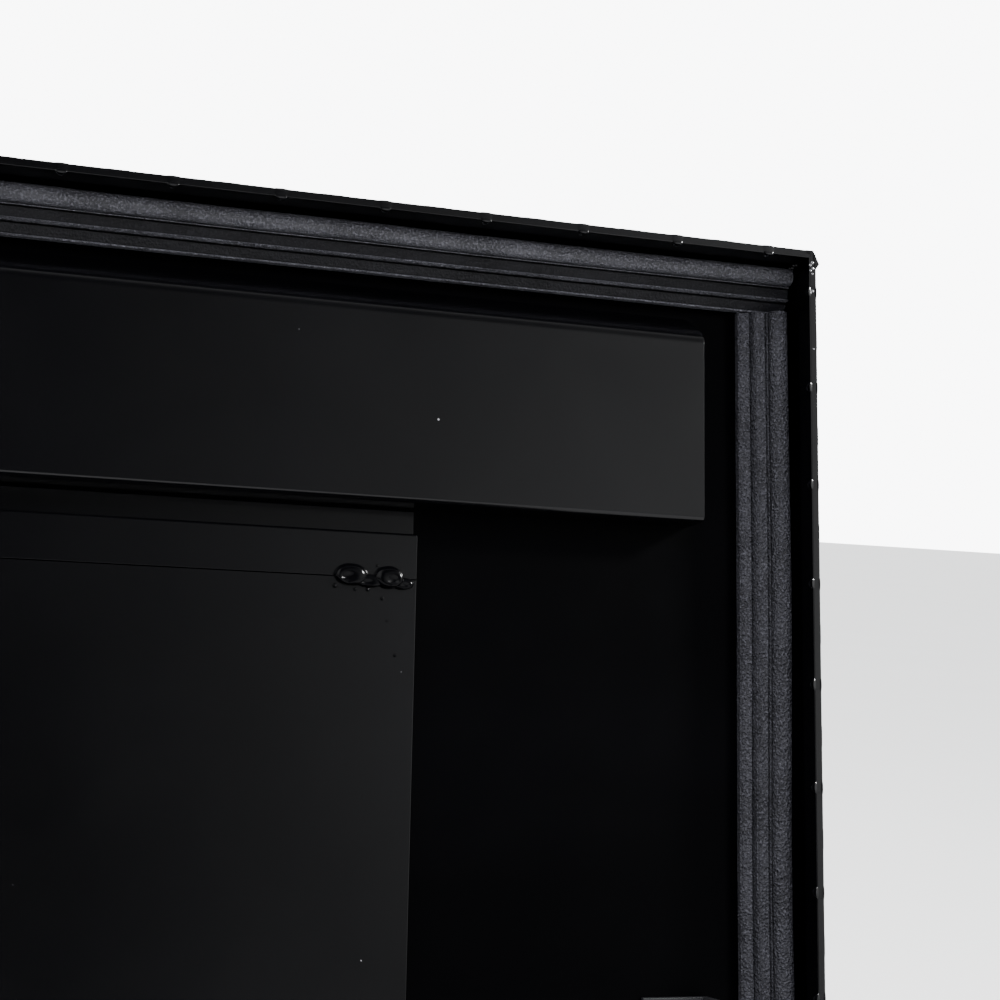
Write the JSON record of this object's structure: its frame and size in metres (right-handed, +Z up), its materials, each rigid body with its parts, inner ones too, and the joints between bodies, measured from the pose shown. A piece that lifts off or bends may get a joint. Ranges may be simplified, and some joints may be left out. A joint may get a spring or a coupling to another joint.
{
  "type": "truck tool box",
  "caption": "Chest-type truck bed tool box in gloss black tread plate, with a hinged, sealed and stiffened lid, gas struts, folding T-handle latch and end handles.",
  "frame": {"origin": "centre of the flat underside of the case", "axes": "+X along the length to the right-hand end seen from the latch side, -Y towards the latch side, +Z up; the lid is open on its stop at rest"},
  "size_m": [1.282, 0.5018, 0.7631],
  "materials": {
    "tread_black": "gloss powder coat on aluminium tread plate",
    "sheet_black": "gloss powder coat on plain aluminium sheet",
    "weld_black": "weld bead under gloss powder coat",
    "seal_rubber": "fine-grained charcoal sponge rubber",
    "gasket_rubber": "smooth black rubber",
    "grip_rubber": "ribbed black rubber",
    "handle_steel": "satin black coated steel",
    "socket_plastic": "moulded black nylon",
    "cylinder_black": "satin black paint",
    "rod_chrome": "polished hard chrome",
    "zinc_steel": "zinc plated",
    "bracket_black": "satin black powder coat",
    "rivet_aluminium": "black-coated aluminium rivet",
    "hinge_steel": "plain steel rod",
    "hinge_black": "satin black powder coat",
    "latch_chrome": "polished stainless steel",
    "dish_steel": "brushed stainless steel",
    "lock_brass": "machined lock plug, nickel-washed"
  },
  "bodies": {
    "case": {"corner_welds": "weld_black", "end_panel_left": "tread_black", "end_panel_right": "tread_black", "floor_panel": "sheet_black", "front_panel": "tread_black", "handle_plate_left": "handle_steel", "handle_plate_right": "handle_steel", "handle_rivets": "rivet_aluminium", "hinge_leaf_case": "hinge_black", "hinge_pin": "hinge_steel", "hinge_rivets_case": "rivet_aluminium", "latch_bush": "zinc_steel", "latch_bush_nut": "zinc_steel", "latch_dish": "dish_steel", "latch_gasket": "gasket_rubber", "latch_rivets": "rivet_aluminium", "rear_panel": "tread_black", "strut_bracket_case_left": "bracket_black", "strut_bracket_case_right": "bracket_black", "strut_rivets_case": "rivet_aluminium", "strut_stud_case_left": "zinc_steel", "strut_stud_case_right": "zinc_steel"},
    "lid": {"lid_pan": "tread_black", "lid_corner_welds": "weld_black", "lid_channel": "sheet_black", "lid_panel_strip": "sheet_black", "lid_centre_panel": "sheet_black", "lid_panel_welds": "weld_black", "seal_front": "seal_rubber", "seal_rear": "seal_rubber", "seal_left": "seal_rubber", "seal_right": "seal_rubber", "striker": "sheet_black", "striker_rivets": "rivet_aluminium", "hinge_leaf_lid": "hinge_black", "hinge_rivets_lid": "rivet_aluminium", "strut_rivets_lid": "rivet_aluminium", "strut_bracket_lid_left": "bracket_black", "strut_bracket_lid_right": "bracket_black", "strut_stud_lid_left": "zinc_steel", "strut_stud_lid_right": "zinc_steel"},
    "strut_cylinder_left_body": {"strut_cylinder_left": "cylinder_black", "strut_socket_case_left": "socket_plastic"},
    "strut_rod_left_body": {"strut_rod_left": "rod_chrome", "strut_socket_lid_left": "socket_plastic"},
    "end_handle_left": {"handle_bail_left": "handle_steel", "handle_grip_left": "grip_rubber"},
    "strut_cylinder_right_body": {"strut_cylinder_right": "cylinder_black", "strut_socket_case_right": "socket_plastic"},
    "strut_rod_right_body": {"strut_rod_right": "rod_chrome", "strut_socket_lid_right": "socket_plastic"},
    "end_handle_right": {"handle_bail_right": "handle_steel", "handle_grip_right": "grip_rubber"},
    "latch_spindle_body": {"latch_spindle": "zinc_steel", "latch_tongue": "zinc_steel", "spindle_nut": "zinc_steel", "fold_pin": "zinc_steel"},
    "latch_handle": {"t_handle": "latch_chrome"},
    "lock": {"lock_plug": "lock_brass"}
  },
  "joints": [
    {"name": "lid_hinge", "type": "hinge", "parent": "case", "child": "lid", "pos_m": [0, 0.1917, 0.3805], "axis": [1, 0, 0], "range_deg": [0, 100]},
    {"name": "strut_swing_left", "type": "hinge", "parent": "case", "child": "strut_cylinder_left_body", "pos_m": [-0.568, -0.04, 0.18], "axis": [1, 0, 0], "range_deg": [-1, 2.99]},
    {"name": "strut_extend_left", "type": "slide", "parent": "strut_cylinder_left_body", "child": "strut_rod_left_body", "axis": [0, 0.6651, 0.7467], "range_m": [-0.1059, 0.0005]},
    {"name": "strut_swing_right", "type": "hinge", "parent": "case", "child": "strut_cylinder_right_body", "pos_m": [0.568, -0.04, 0.18], "axis": [1, 0, 0], "range_deg": [-1, 2.99]},
    {"name": "strut_extend_right", "type": "slide", "parent": "strut_cylinder_right_body", "child": "strut_rod_right_body", "axis": [0, 0.6651, 0.7467], "range_m": [-0.1059, 0.0005]},
    {"name": "latch_turn", "type": "hinge", "parent": "case", "child": "latch_spindle_body", "pos_m": [0, -0.1675, 0.288], "axis": [0, 1, 0], "range_deg": [0, 90]},
    {"name": "handle_fold", "type": "hinge", "parent": "latch_spindle_body", "child": "latch_handle", "pos_m": [0, -0.1805, 0.288], "axis": [0, 0, 1], "range_deg": [0, 90]},
    {"name": "lock_turn", "type": "hinge", "parent": "latch_handle", "child": "lock", "pos_m": [0, -0.2205, 0.288], "axis": [0, 1, 0], "range_deg": [0, 90]},
    {"name": "end_handle_left_lift", "type": "hinge", "parent": "case", "child": "end_handle_left", "pos_m": [-0.632, 0, 0.262], "axis": [0, 1, 0], "range_deg": [0, 90]},
    {"name": "end_handle_right_lift", "type": "hinge", "parent": "case", "child": "end_handle_right", "pos_m": [0.632, 0, 0.262], "axis": [0, -1, 0], "range_deg": [0, 90]}
  ],
  "couplings": [
    {"joint": "strut_swing_left", "follows": "lid_hinge", "ratio": 0.019862},
    {"joint": "strut_extend_left", "follows": "lid_hinge", "m_per_rad": -0.060118},
    {"joint": "strut_swing_right", "follows": "lid_hinge", "ratio": 0.019862},
    {"joint": "strut_extend_right", "follows": "lid_hinge", "m_per_rad": -0.060118}
  ]
}
